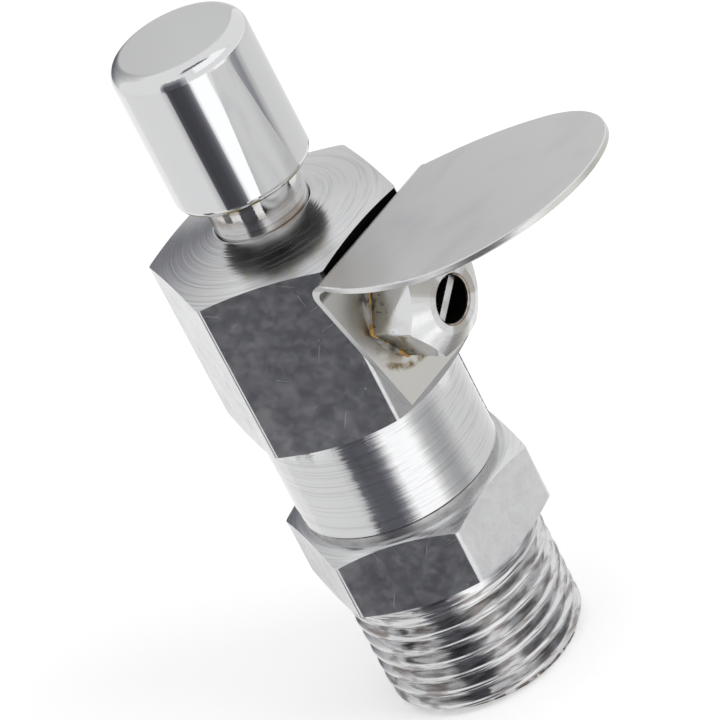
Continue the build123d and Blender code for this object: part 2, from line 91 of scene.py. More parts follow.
class NodeGraph:
    """A node tree, put together by short calls."""

    def __init__(self, owner: Union[bpy.types.Material, bpy.types.World]) -> None:
        """Takes up the node tree of a material or a world."""
        owner.use_nodes = True
        self.tree = owner.node_tree

    def node(self, kind: str, **settings: object) -> bpy.types.Node:
        """Adds one node.

        Args:
            kind: Blender's name of the node type.
            settings: Properties to set on the node.

        Returns:
            The new node.
        """
        made = self.tree.nodes.new(kind)
        for key, value in settings.items():
            setattr(made, key, value)
        return made

    def feed(self, socket: Socket, value: Value) -> None:
        """Links a socket to another one, or sets its own value."""
        if isinstance(value, bpy.types.NodeSocket):
            self.tree.links.new(value, socket)
        else:
            socket.default_value = value

    def math(self, operation: str, first: Value, second: Value = 0.0, third: Value = 0.0) -> Socket:
        """Adds a math node.

        Args:
            operation: Blender's name of the operation.
            first: First operand.
            second: Second operand.
            third: Third operand, for the operations that have one.

        Returns:
            The result's socket.
        """
        made = self.node("ShaderNodeMath", operation=operation)
        for socket, value in zip(made.inputs, (first, second, third)):
            self.feed(socket, value)
        return made.outputs[0]

    def times(self, *factors: Value) -> Socket:
        """Multiplies two or more values."""
        return reduce(lambda first, second: self.math("MULTIPLY", first, second), factors)

    def plus(self, first: Value, second: Value) -> Socket:
        """Adds two values."""
        return self.math("ADD", first, second)

    def minus(self, first: Value, second: Value) -> Socket:
        """Takes the second value from the first."""
        return self.math("SUBTRACT", first, second)

    def larger(self, first: Value, second: Value) -> Socket:
        """Gives the larger of two values."""
        return self.math("MAXIMUM", first, second)

    def scaled(self, value: Value, factor: Value, extra: Value) -> Socket:
        """Multiplies a value and adds another."""
        return self.math("MULTIPLY_ADD", value, factor, extra)

    def distance(self, first: Value, second: Value) -> Socket:
        """Gives the distance from an axis, from two coordinates across it."""
        return self.math("SQRT", self.scaled(first, first, self.times(second, second)))

    def in_sight(self) -> Socket:
        """Gives 1 where a surface is looked at, mirrored or seen through, and 0 where it only gives light."""
        rays = self.node("ShaderNodeLightPath").outputs
        direct = self.larger(rays["Is Camera Ray"], rays["Is Glossy Ray"])
        return self.larger(direct, rays["Is Transmission Ray"])

    def vector(self, operation: str, first: Value, second: Value = (0.0, 0.0, 0.0)) -> Socket:
        """Adds a vector math node.

        Args:
            operation: Blender's name of the operation.
            first: First operand.
            second: Second operand, or the factor of a scaling.

        Returns:
            The resulting vector's socket.
        """
        made = self.node("ShaderNodeVectorMath", operation=operation)
        self.feed(made.inputs[0], first)
        self.feed(made.inputs["Scale"] if operation == "SCALE" else made.inputs[1], second)
        return made.outputs[0]

    def split(self, vector: Socket) -> tuple[Socket, Socket, Socket]:
        """Gives a vector's three coordinates."""
        made = self.node("ShaderNodeSeparateXYZ")
        self.feed(made.inputs[0], vector)
        return made.outputs[0], made.outputs[1], made.outputs[2]

    def join(self, x: Value, y: Value, z: Value) -> Socket:
        """Makes a vector of three coordinates."""
        made = self.node("ShaderNodeCombineXYZ")
        for socket, value in zip(made.inputs, (x, y, z)):
            self.feed(socket, value)
        return made.outputs[0]

    def noise(self, place: Value, scale: float, detail: float = 2.0, warp: float = 0.0) -> Socket:
        """Adds soft random mottling.

        Args:
            place: Where to read it.
            scale: Blotches per unit of place.
            detail: Octaves of finer mottling.
            warp: How far it is smeared into swirls.

        Returns:
            A value around one half.
        """
        made = self.node("ShaderNodeTexNoise")
        self.feed(made.inputs["Vector"], place)
        made.inputs["Scale"].default_value = scale
        made.inputs["Detail"].default_value = detail
        made.inputs["Distortion"].default_value = warp
        return made.outputs["Fac"]

    def cells(self, place: Value, scale: float) -> bpy.types.Node:
        """Adds a pattern of random cells, whose outputs are a distance and a colour."""
        made = self.node("ShaderNodeTexVoronoi")
        self.feed(made.inputs["Vector"], place)
        made.inputs["Scale"].default_value = scale
        return made

    def ramp(self, value: Value, start: float, end: float, low: float = 0.0, high: float = 1.0) -> Socket:
        """Turns a value into a soft step.

        Args:
            value: What is read.
            start: Where the step begins.
            end: Where the step ends.
            low: Result up to the start.
            high: Result past the end.

        Returns:
            The step's socket.
        """
        made = self.node("ShaderNodeMapRange", interpolation_type="SMOOTHSTEP")
        for key, given in zip(("Value", "From Min", "From Max", "To Min", "To Max"),
                              (value, start, end, low, high)):
            self.feed(made.inputs[key], given)
        return made.outputs[0]

    def band(self, value: Value, start: float, end: float, edge: float) -> Socket:
        """Gives 1 between two values and 0 outside, with soft edges of the given width."""
        rise = self.ramp(value, start - edge, start + edge)
        fall = self.ramp(value, end - edge, end + edge, 1.0, 0.0)
        return self.math("MULTIPLY", rise, fall)

    def blend(self, share: Value, first: Value, second: Value) -> Socket:
        """Mixes two colours.

        Args:
            share: 0 for the first colour, 1 for the second.
            first: Colour or socket.
            second: Colour or socket.

        Returns:
            The mixed colour's socket.
        """
        made = self.node("ShaderNodeMix", data_type="RGBA")
        self.feed(made.inputs[0], share)
        for socket, value in zip((made.inputs[6], made.inputs[7]), (first, second)):
            self.feed(socket, value if isinstance(value, bpy.types.NodeSocket) else (*value, 1.0))
        return made.outputs[2]

    def bump(self, height: Socket, depth: float, normal: Optional[Socket] = None) -> Socket:
        """Raises the surface by a height pattern.

        Args:
            height: The pattern, from 0 to 1.
            depth: Metres that a height of 1 stands for.
            normal: Normal to start from, or none for the mesh's own.

        Returns:
            The new normal's socket.
        """
        made = self.node("ShaderNodeBump")
        made.inputs["Distance"].default_value = depth
        self.feed(made.inputs["Height"], height)
        if normal is not None:
            self.feed(made.inputs["Normal"], normal)
        return made.outputs[0]

    def surface_normal(self) -> Socket:
        """Gives the mesh's own smooth normal."""
        return self.node("ShaderNodeNewGeometry").outputs["Normal"]


class ShaderGraph(NodeGraph):
    """A material's node tree, with one principled shader."""

    def __init__(self, name: str) -> None:
        """Starts the material."""
        self.material = bpy.data.materials.new(name)
        super().__init__(self.material)
        self.shader = self.tree.nodes["Principled BSDF"]
        self.place = self.node("ShaderNodeTexCoord").outputs["Object"]

    def set(self, name: str, value: Value) -> None:
        """Links one of the shader's sockets, or sets its own value."""
        self.feed(self.shader.inputs[name], value)


@dataclass(frozen=True)
class Blotches:
    """Soft random patches: how fine they are, and the noise values between which they come up."""

    scale: float
    detail: float
    start: float
    end: float
    low: float = 0.0
    high: float = 1.0
    warp: float = 0.0

    def draw(self, graph: ShaderGraph, place: Optional[Socket] = None,
             extra: Optional[Value] = None) -> Socket:
        """Draws the patches.

        Args:
            graph: The material to draw in.
            place: Where to read the noise, or none for the part's own frame.
            extra: Value to add to the noise.

        Returns:
            The low value beside the patches and the high one in them.
        """
        found = graph.noise(graph.place if place is None else place, self.scale, self.detail, self.warp)
        if extra is not None:
            found = graph.plus(found, extra)
        return graph.ramp(found, self.start, self.end, self.low, self.high)


@dataclass(frozen=True)
class Wear:
    """Marks of use on plated metal, in metres, radians and shares."""

    scratch_depth: float = 2.5e-6
    scratch_length: float = 7.0 * MM
    scratch_gap: float = 0.13 * MM
    scratch_reach: float = 0.17
    scratch_core: float = 0.4
    scratch_share: float = 0.07
    scratch_turns: tuple[float, ...] = (0.3, 1.1, 1.75, 2.7)
    turn_seed: float = 11.0
    face_seeds: Span = (7.3, 3.1)
    pit_cell: float = 0.9 * MM
    pit_size: float = 0.07
    pit_core: float = 0.5
    pit_share: float = 0.12
    pit_depth: float = 1.2e-5
    pick_edge: float = 0.01
    mottle_size: float = 0.6 * MM
    mottle_detail: float = 5.0
    mottle_warp: float = 0.3
    mottle_depth: float = 6.0e-7

    def marks(self, graph: ShaderGraph, cell: bpy.types.Node, reach: float, core: float,
              share: float) -> Socket:
        """Draws a mark at the middle of some random cells.

        Args:
            graph: The material to draw in.
            cell: The cells.
            reach: Size of a mark, as a share of a cell.
            core: Share of that size over which the mark is full.
            share: Share of the cells that have one.

        Returns:
            1 in a mark and 0 beside it.
        """
        mark = graph.ramp(cell.outputs["Distance"], core * reach, reach, 1.0, 0.0)
        chance = graph.split(cell.outputs["Color"])[0]
        return graph.times(mark, graph.ramp(chance, share, share - self.pick_edge))

    def scratches(self, graph: ShaderGraph) -> Socket:
        """Draws short straight scratches in four directions on upright flats.

        Args:
            graph: The material to draw in.

        Returns:
            1 in a scratch and 0 beside it.
        """
        x, y, z = graph.split(graph.place)
        nx, ny, _ = graph.split(graph.surface_normal())
        along = graph.minus(graph.times(y, nx), graph.times(x, ny))
        face = graph.scaled(nx, self.face_seeds[0], graph.times(ny, self.face_seeds[1]))
        drawn: Value = 0.0
        for turn in self.scratch_turns:
            turned = [
                graph.scaled(along, math.cos(angle) / size, graph.times(z, math.sin(angle) / size))
                for angle, size in ((turn, self.scratch_length), (turn + math.pi / 2, self.scratch_gap))
            ]
            cell = graph.cells(graph.join(*turned, graph.plus(face, self.turn_seed * turn)), 1.0)
            line = self.marks(graph, cell, self.scratch_reach, self.scratch_core, self.scratch_share)
            drawn = graph.larger(line, drawn)
        return drawn

    def pits(self, graph: ShaderGraph) -> Socket:
        """Scatters small pits: 1 in a pit and 0 beside it."""
        cell = graph.cells(graph.place, 1.0 / self.pit_cell)
        return self.marks(graph, cell, self.pit_size, self.pit_core, self.pit_share)

    def mottle(self, graph: ShaderGraph) -> Socket:
        """Gives the uneven face of ground metal, from 0 to 1."""
        return graph.noise(graph.place, 1.0 / self.mottle_size, self.mottle_detail, self.mottle_warp)


@dataclass(frozen=True)
class Turning:
    """Marks of the lathe tool round an axis."""

    groove_depth: float = 1.2e-6
    groove_pitch: float = 0.10 * MM
    groove_detail: float = 3.0
    smear: float = 25.0
    waver: float = 0.22
    waver_scale: float = 0.8
    waver_detail: float = 4.0
    line_pitch: float = 0.24 * MM
    line_smear: float = 170.0
    line: Blotches = Blotches(1.0, 4.0, 0.48, 0.68)

    def drawn_out(self, graph: ShaderGraph, across: Socket, round_way: Socket, pitch: float,
                  smear: float) -> Socket:
        """Gives a place in which noise is drawn out round the axis.

        Args:
            graph: The material to draw in.
            across: Coordinate across the grooves, along the axis or the radius, in metres.
            round_way: Vector round the axis, from nothing on the axis to its distance from it.
            pitch: Distance between the grooves.
            smear: Changes along a metre of a groove.

        Returns:
            The place.
        """
        fine = graph.times(across, 1.0 / pitch)
        return graph.vector("ADD", graph.vector("SCALE", round_way, smear), graph.join(fine, 0.0, 0.0))

    def lines(self, graph: ShaderGraph, across: Socket, round_way: Socket) -> Socket:
        """Draws the wider lines that the tool leaves: 1 in a dull line and 0 between them."""
        place = self.drawn_out(graph, across, round_way, self.line_pitch, self.line_smear)
        return self.line.draw(graph, place)

    def normal(self, graph: ShaderGraph, across: Socket, round_way: Socket, share: Value,
               start: Socket) -> Socket:
        """Bends a normal by fine grooves that run round the axis.

        Args:
            graph: The material to draw in.
            across: Coordinate across the grooves.
            round_way: Vector round the axis.
            share: How deep the grooves are, from 0 to 1.
            start: Normal to start from.

        Returns:
            The bent normal.
        """
        place = self.drawn_out(graph, across, round_way, self.groove_pitch, self.smear)
        groove = graph.noise(place, 1.0, self.groove_detail)
        cut = graph.bump(graph.times(groove, share), self.groove_depth, start)
        jitter = graph.minus(graph.noise(place, self.waver_scale, self.waver_detail), 0.5)
        reach = graph.times(jitter, self.waver, share)
        sideways = graph.vector("SCALE", graph.vector("NORMALIZE", round_way), reach)
        return graph.vector("NORMALIZE", graph.vector("ADD", cut, sideways))


@dataclass(frozen=True)
class Chrome:
    """Bright plating on machined brass, shared by the finishes below."""

    name: str
    colour: Colour = (0.68, 0.683, 0.69)
    roughness: float = 0.05
    haze: float = 0.10
    haze_patch: Blotches = Blotches(1.0 / (3.0 * MM), 4.0, 0.35, 0.75)
    ripple: float = 6.0e-6
    ripple_size: float = 3.5 * MM
    slope: Span = (0.25, 0.35)
    wear: Wear = Wear()
    turning: Turning = Turning()

    def start(self) -> ShaderGraph:
        """Starts the material with its constant values."""
        graph = ShaderGraph(self.name)
        graph.set("Metallic", 1.0)
        graph.set("Base Color", (*self.colour, 1.0))
        return graph

    def hazy_roughness(self, graph: ShaderGraph, extra: Value = 0.0) -> Socket:
        """Clouds the plating in patches.

        Args:
            graph: The material to draw in.
            extra: Roughness to add in places.

        Returns:
            The roughness.
        """
        return graph.plus(graph.scaled(self.haze_patch.draw(graph), self.haze, self.roughness), extra)

    def rippled(self, graph: ShaderGraph) -> Socket:
        """Gives the polished surface's faint waviness as a normal."""
        return graph.bump(graph.noise(graph.place, 1.0 / self.ripple_size, 1.0), self.ripple)

    def worn(self, graph: ShaderGraph, start: Socket, share: Value) -> tuple[Socket, Socket]:
        """Adds the ground face, scratches and pits to a normal.

        Args:
            graph: The material to draw in.
            start: Normal to start from.
            share: Where the marks are, from 0 to 1.

        Returns:
            The marked normal, and where the scratches are.
        """
        ground = graph.times(self.wear.mottle(graph), share)
        scratch = graph.times(self.wear.scratches(graph), share)
        pit = graph.times(self.wear.pits(graph), share)
        normal = graph.bump(ground, self.wear.mottle_depth, start)
        normal = graph.bump(scratch, -self.wear.scratch_depth, normal)
        return graph.bump(pit, -self.wear.pit_depth, normal), scratch


@dataclass(frozen=True)
class ButtonChrome(Chrome):
    """Mirror plating of the button, with olive residue round part of its foot and painted shade on its
    downward faces.
    """

    residue: Colour = (0.34, 0.30, 0.10)
    residue_height: float = 0.62 * MM
    residue_core: float = 0.6
    residue_rough: float = 0.35
    residue_patch: Blotches = Blotches(700.0, 3.0, 0.40, 0.52)
    residue_lean: float = -1.4
    residue_side: Span = (4.0 * MM, 7.0 * MM)
    # painted shade: near-black colour on the faces that look down, where the button is in its own shade
    painted_underside_shade: Colour = (0.05, 0.052, 0.05)
    under_slope: Span = (-0.6, -0.8)
    under_rough: float = 0.3
    foot: float = 45.1 * MM

    def material(self) -> bpy.types.Material:
        """Builds the mirror finish with the stained foot and the painted shade underneath."""
        graph = self.start()
        x, y, z = graph.split(graph.place)
        full = self.foot + self.residue_core * self.residue_height
        low = graph.ramp(z, full, self.foot + self.residue_height, 1.0, 0.0)
        side = graph.ramp(graph.minus(graph.times(x, self.residue_lean), y), *self.residue_side)
        stain = graph.times(low, side, self.residue_patch.draw(graph))
        # painted shade: the downward faces are blended to near black
        under = graph.ramp(graph.split(graph.surface_normal())[2], *self.under_slope)
        colour = graph.blend(stain, self.colour, self.residue)
        graph.set("Base Color", graph.blend(under, colour, self.painted_underside_shade))
        rough = graph.scaled(under, self.under_rough, graph.times(stain, self.residue_rough))
        graph.set("Roughness", self.hazy_roughness(graph, rough))
        graph.set("Normal", self.rippled(graph))
        return graph.material


@dataclass(frozen=True)
class StemChrome(Chrome):
    """Polished plating of the stem, with a brown film in bands."""

    film: Colour = (0.30, 0.235, 0.18)
    band: float = 0.9 * MM
    banding: Blotches = Blotches(1.0, 2.0, 0.80, 1.05, 0.1, 0.85)
    patch_scale: float = 260.0
    patch_share: float = 0.8
    groove_share: float = 0.5

    def material(self) -> bpy.types.Material:
        """Builds the polished finish with its film."""
        graph = self.start()
        x, y, z = graph.split(graph.place)
        round_way = graph.join(graph.times(y, -1.0), x, 0.0)
        height = graph.join(0.0, 0.0, graph.times(z, 1.0 / self.band))
        patch = graph.times(graph.noise(graph.place, self.patch_scale), self.patch_share)
        film = self.banding.draw(graph, height, patch)
        graph.set("Base Color", graph.blend(film, self.colour, self.film))
        graph.set("Roughness", self.hazy_roughness(graph))
        graph.set("Normal", self.turning.normal(graph, z, round_way, self.groove_share, self.rippled(graph)))
        return graph.material


@dataclass(frozen=True)
class BarChrome(Chrome):
    """Plating on hexagonal bar with turned ends: ground flats, turned cones, neck or thread."""

    turned_top: float = 0.0
    turned_edge: float = 0.05 * MM
    cone_share: float = 1.8
    cone_rough: float = 0.12
    cone_film: float = 0.10
    line_share: float = 0.4
    line_tone: Colour = (0.40, 0.40, 0.41)
    film_patch: Blotches = Blotches(900.0, 8.0, 0.36, 0.74, 0.0, 0.12, 0.5)
    speck_share: float = 0.5
    round_rough: float = 0.0
    flat_rough: float = 0.05
    scratch_rough: float = 0.30
    cloud_rough: float = 0.12
    grit_scale: float = 3500.0
    grit_share: float = 0.45
    cloud: Blotches = Blotches(480.0, 3.0, 0.40, 1.05, warp=0.2)
    dull: Colour = (0.61, 0.61, 0.62)
    dull_patch: Blotches = Blotches(420.0, 6.0, 0.55, 0.93, warp=0.8)
    stained: bool = False
    stain: Colour = (0.10, 0.065, 0.045)
    stain_squeeze: Triple = (1.0, 1.0, 9.0)
    stain_patch: Blotches = Blotches(300.0, 7.0, 0.46, 0.66, 0.0, 0.65)
    crust: Blotches = Blotches(1500.0, 4.0, 0.40, 0.56, 0.0, 0.85)
    crust_span: Span = (-12.9 * MM, -13.5 * MM)
    # painted shade: near-black colour on the jet flat beside the guard's flange, full in the crevice under
    # the guard's fold
    painted_shade: Colour = (0.012, 0.011, 0.010)
    shade_front: float = -1.0
    shade_edge: float = 0.04 * MM
    shade_share: float = 0.45
    shade_foot: float = 0.0
    shade_rise: float = 0.4 * MM
    shade_rough: float = 0.4

    def thread_dirt(self, graph: ShaderGraph, height: Socket) -> Socket:
        """Gives the dirt in the thread, and the crust at its end.

        Args:
            graph: The material to draw in.
            height: Height along the axis.

        Returns:
            How much the stain covers, from 0 to 1.
        """
        dirty = self.stain_patch.draw(graph, graph.vector("MULTIPLY", graph.place, self.stain_squeeze))
        return graph.larger(dirty, graph.times(self.crust.draw(graph), graph.ramp(height, *self.crust_span)))

    def material(self) -> bpy.types.Material:
        """Builds the finish, choosing by place between flats, turned rounds and turned cones."""
        graph = self.start()
        x, y, z = graph.split(graph.place)
        round_way = graph.join(graph.times(y, -1.0), x, 0.0)
        facing = graph.split(graph.surface_normal())[2]
        on_cone = graph.ramp(graph.math("ABSOLUTE", facing), *self.slope)
        top, edge = self.turned_top, self.turned_edge
        on_round = graph.ramp(z, top - edge, top + edge, 1.0, 0.0)
        turned = graph.larger(on_cone, on_round)
        flat = graph.minus(1.0, turned)
        on_cone = graph.times(on_cone, graph.minus(1.0, on_round))
        across = graph.plus(graph.times(graph.distance(x, y), on_cone), z)
        depth = graph.scaled(on_cone, self.cone_share, on_round)
        base = self.turning.normal(graph, across, round_way, depth, self.rippled(graph))
        normal, scratch = self.worn(graph, base, flat)
        graph.set("Normal", normal)
        grit = graph.times(graph.noise(graph.place, self.grit_scale, 3.0), self.grit_share)
        rough = graph.scaled(scratch, self.scratch_rough, graph.times(flat, self.flat_rough))
        rough = graph.scaled(on_round, self.round_rough, rough)
        rough = graph.scaled(on_cone, self.cone_rough, rough)
        rough = graph.scaled(graph.times(self.cloud.draw(graph, extra=grit), flat), self.cloud_rough, rough)
        dull = graph.times(self.dull_patch.draw(graph, extra=grit), flat)
        colour = graph.blend(dull, self.colour, self.dull)
        lines = self.turning.lines(graph, across, round_way)
        lined = graph.times(lines, graph.larger(on_cone, on_round), self.line_share)
        colour = graph.blend(lined, colour, self.line_tone)
        speck = graph.times(self.wear.pits(graph), self.speck_share)
        film = graph.times(graph.larger(self.film_patch.draw(graph), speck), flat)
        film = graph.scaled(graph.times(lines, on_cone), self.cone_film, film)
        graph.set("Metallic", graph.minus(1.0, film))
        if self.stained:
            colour = graph.blend(graph.times(self.thread_dirt(graph, z), on_round), colour, self.stain)
        # painted shade: the jet flat behind the flange is darkened by a share, and above the fold's foot it
        # is painted fully dark
        behind = graph.times(graph.ramp(y, self.shade_front, self.shade_front - self.shade_edge), flat)
        colour = graph.blend(graph.times(behind, self.shade_share), colour, self.painted_shade)
        gap = graph.times(behind, graph.ramp(z, self.shade_foot, self.shade_foot + self.shade_rise))
        graph.set("Base Color", graph.blend(gap, colour, self.painted_shade))
        graph.set("Roughness", self.hazy_roughness(graph, graph.scaled(gap, self.shade_rough, rough)))
        return graph.material


@dataclass(frozen=True)
class NozzleChrome(Chrome):
    """Plating of the nozzle, with painted shade in its bore, painted reflection streaks on its turned faces,
    green specks, film near its base and darker brown on its downward faces there.
    """

    axis_height: float = 30.7 * MM
    bore: float = 2.34 * MM
    bore_edge: float = 0.05 * MM
    bore_rough: float = 0.6
    front: float = -18.4 * MM
    front_depth: Span = (0.1 * MM, 0.4 * MM)
    base: float = -12.4 * MM
    base_reach: Span = (-3.4 * MM, -0.4 * MM)
    # painted shade: near-black colour deep in the bore
    dark: Colour = (0.012, 0.010, 0.008)
    rim: Colour = (0.20, 0.11, 0.05)
    rim_width: float = 0.16 * MM
    rim_edge: float = 0.04 * MM
    rim_share: float = 0.7
    green: Colour = (0.12, 0.15, 0.10)
    green_patch: Blotches = Blotches(1300.0, 4.0, 0.57, 0.63)
    green_rough: float = 0.4
    green_relief: float = 1.5e-5
    film: Colour = (0.33, 0.315, 0.28)
    film_patch: Blotches = Blotches(500.0, 3.0, 0.45, 1.2)
    film_rough: float = 0.15
    # painted reflection: darker streaks round the nozzle's axis on its turned faces, in place of their
    # anisotropic reflection
    reflection_streak: Blotches = Blotches(1.7, 5.0, 0.42, 0.58, 0.0, 1.0)
    reflection_streak_share: float = 0.75
    brown: Colour = (0.13, 0.10, 0.07)
    brown_slope: Span = (-0.3, -0.5)
    brown_share: float = 0.8
    turned_rough: float = 0.06
    wear_share: float = 0.6

    def material(self) -> bpy.types.Material:
        """Builds the finish with its bore shade, painted reflection streaks and stains."""
        graph = self.start()
        x, y, z = graph.split(graph.place)
        _, ny, nz = graph.split(graph.surface_normal())
        up = graph.minus(z, self.axis_height)
        radius = graph.distance(x, up)
        round_way = graph.join(up, 0.0, graph.times(x, -1.0))
        turned = graph.ramp(graph.math("ABSOLUTE", ny), *self.slope)
        inside = graph.ramp(radius, self.bore, self.bore + self.bore_edge, 1.0, 0.0)
        bore_shade = graph.times(inside, graph.ramp(y, *(self.front + depth for depth in self.front_depth)))
        on_rim = graph.band(radius, self.bore, self.bore + self.rim_width, self.rim_edge)
        near_base = graph.ramp(y, *(self.base + reach for reach in self.base_reach))
        speck = graph.times(self.green_patch.draw(graph), near_base)
        under = graph.times(graph.ramp(nz, *self.brown_slope), near_base)
        # painted reflection streaks, read by the direction round the nozzle's axis
        reflection_streak = self.reflection_streak.draw(graph, graph.vector("NORMALIZE", graph.join(x, 0.0, up)))
        # real film near the base, joined below with the painted reflection streaks
        film_and_reflection = self.film_patch.draw(graph, extra=near_base)
        film_and_reflection = graph.larger(film_and_reflection, graph.times(reflection_streak, turned, self.reflection_streak_share))
        colour = graph.blend(film_and_reflection, self.colour, self.film)
        colour = graph.blend(graph.times(under, self.brown_share), colour, self.brown)
        colour = graph.blend(speck, colour, self.green)
        colour = graph.blend(graph.times(on_rim, self.rim_share), colour, self.rim)
        # painted shade deep in the bore
        graph.set("Base Color", graph.blend(bore_shade, colour, self.dark))
        rough = graph.scaled(bore_shade, self.bore_rough, graph.times(speck, self.green_rough))
        rough = graph.scaled(turned, self.turned_rough, graph.scaled(film_and_reflection, self.film_rough, rough))
        graph.set("Roughness", self.hazy_roughness(graph, rough))
        raised = graph.bump(speck, self.green_relief, self.rippled(graph))
        grooved = self.turning.normal(graph, graph.plus(radius, y), round_way, turned, raised)
        graph.set("Normal", self.worn(graph, grooved, self.wear_share)[0])
        return graph.material


@dataclass(frozen=True)
class SatinSheet:
    """Satin plated sheet of the mouth guard, soiled round the jet nozzle, with painted shade on its back
    faces behind the fold.
    """

    name: str
    axis_height: float
    colour: Colour = (0.70, 0.70, 0.695)
    smudge: Colour = (0.63, 0.63, 0.645)
    smudge_patch: Blotches = Blotches(110.0, 4.0, 0.45, 0.75, warp=0.4)
    film: Colour = (0.575, 0.565, 0.535)
    flange_slope: Span = (-0.7, -0.9)
    soil: Colour = (0.24, 0.185, 0.10)
    soil_patch: Blotches = Blotches(650.0, 4.0, 0.42, 0.6)
    soil_ring: Span = (6.1 * MM, 6.8 * MM)
    soil_edge: float = 0.25 * MM
    soil_fall: Span = (-3.0 * MM, -4.5 * MM)
    soil_near: Quad = (5.4 * MM, 7.0 * MM, 0.55, 0.0)
    soil_rough: float = 0.3
    # painted shade on the back faces that look towards the body
    painted_shade: Colour = (0.02, 0.019, 0.018)
    back_slope: Span = (0.6, 0.8)
    roughness: float = 0.26
    grain: float = 5.0e-7
    grain_squeeze: Triple = (5000.0, 300.0, 300.0)
    grain_rough: float = 0.08

    def material(self) -> bpy.types.Material:
        """Builds the satin finish with its smudges and soil."""
        graph = ShaderGraph(self.name)
        graph.set("Metallic", 1.0)
        x, _, z = graph.split(graph.place)
        facing = graph.split(graph.surface_normal())[1]
        up = graph.minus(z, self.axis_height)
        radius = graph.distance(x, up)
        on_flange = graph.ramp(facing, *self.flange_slope)
        colour = graph.blend(self.smudge_patch.draw(graph), self.colour, self.smudge)
        colour = graph.blend(on_flange, colour, self.film)
        ring = graph.band(radius, *self.soil_ring, self.soil_edge)
        ring = graph.times(ring, graph.ramp(up, *self.soil_fall))
        near = graph.ramp(radius, *self.soil_near)
        soiled = graph.times(graph.larger(ring, near), self.soil_patch.draw(graph), on_flange)
        colour = graph.blend(soiled, colour, self.soil)
        # painted shade: the back faces are blended to near black
        graph.set("Base Color", graph.blend(graph.ramp(facing, *self.back_slope), colour, self.painted_shade))
        brushed = graph.noise(graph.vector("MULTIPLY", graph.place, self.grain_squeeze), 1.0, 3.0)
        rough = graph.scaled(brushed, self.grain_rough, self.roughness)
        graph.set("Roughness", graph.scaled(soiled, self.soil_rough, rough))
        graph.set("Normal", graph.bump(brushed, self.grain))
        return graph.material


@dataclass(frozen=True)
class PlainMetal:
    """Bare metal of the inner pieces, with tool marks."""

    name: str
    colour: Colour
    dull_share: float = 0.75
    dull_patch: Blotches = Blotches(700.0, 4.0, 0.35, 0.7)
    roughness: float = 0.18
    mark_squeeze: Triple = (200.0, 200.0, 9000.0)
    mark_rough: float = 0.2
    mark_depth: float = 3.0e-6

    def material(self) -> bpy.types.Material:
        """Builds the bare metal."""
        graph = ShaderGraph(self.name)
        graph.set("Metallic", 1.0)
        dull = tuple(self.dull_share * part for part in self.colour)
        graph.set("Base Color", graph.blend(self.dull_patch.draw(graph), self.colour, dull))
        marks = graph.noise(graph.vector("MULTIPLY", graph.place, self.mark_squeeze), 1.0, 2.0)
        graph.set("Roughness", graph.scaled(marks, self.mark_rough, self.roughness))
        graph.set("Normal", graph.bump(marks, self.mark_depth))
        return graph.material


@dataclass(frozen=True)
class Soft:
    """Rubber, fibre and set sealant: dull materials in two mottled tones."""

    name: str
    colour: Colour
    tone: Colour
    roughness: float = 0.6
    mottle: float = 900.0
    mottle_span: Span = (0.35, 0.65)
    relief: float = 2.0e-5

    def material(self) -> bpy.types.Material:
        """Builds the mottled material."""
        graph = ShaderGraph(self.name)
        mottle = graph.noise(graph.place, self.mottle, 4.0, 0.4)
        graph.set("Base Color", graph.blend(graph.ramp(mottle, *self.mottle_span), self.colour, self.tone))
        graph.set("Roughness", self.roughness)
        graph.set("Normal", graph.bump(mottle, self.relief))
        return graph.material


def outward(azimuth: float) -> Vector:
    """Gives the level direction at an azimuth in degrees, where 0 is along the jet."""
    turn = math.radians(azimuth)
    return Vector((math.sin(turn), -math.cos(turn), 0.0))


def dress(nodes: Iterable[str], material: bpy.types.Material) -> None:
    """Gives CAD nodes a finish.

    Args:
        nodes: Names of the nodes.
        material: Their new material.
    """
    for name in nodes:
        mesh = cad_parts[name].data
        mesh.materials.clear()
        mesh.materials.append(material)
        LOG.info("node %s takes %s", name, material.name)


def put(name: str, data: Optional[bpy.types.ID]) -> bpy.types.Object:
    """Puts a new object with that data into the scene."""
    made = bpy.data.objects.new(name, data)
    bpy.context.scene.collection.objects.link(made)
    return made


def add_piece(name: str, mesh: bpy.types.Mesh, material: bpy.types.Material, body: Body) -> bpy.types.Object:
    """Makes a new piece that rides on a body.

    Args:
        name: The piece's name.
        mesh: Its mesh, in the part's frame.
        material: Its finish.
        body: The body that carries it.

    Returns:
        The piece.
    """
    piece = put(name, mesh)
    mesh.materials.append(material)
    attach(piece, body.value)
    LOG.info("piece %s rides on %s", name, body.value)
    return piece


def ring_mesh(name: str, columns: Sequence[Sequence[Vector]], sharp_deg: float) -> bpy.types.Mesh:
    """Joins closed sections, set in a closed ring, into a mesh of quads.

    Args:
        name: The mesh's name.
        columns: One closed section for each step round the ring, all with as many points.
        sharp_deg: Edges that turn more than this stay sharp.

    Returns:
        The mesh, with its faces turned outwards.
    """
    mesh = bpy.data.meshes.new(name)
    made = bmesh.new()
    rows = [[made.verts.new(point) for point in column] for column in columns]
    for here, there in zip(rows, rows[1:] + rows[:1]):
        for index, corner in enumerate(here):
            after = (index + 1) % len(here)
            made.faces.new((corner, there[index], there[after], here[after]))
    bmesh.ops.recalc_face_normals(made, faces=made.faces)
    made.to_mesh(mesh)
    made.free()
    mesh.shade_smooth()
    mesh.set_sharp_from_angle(angle=math.radians(sharp_deg))
    return mesh


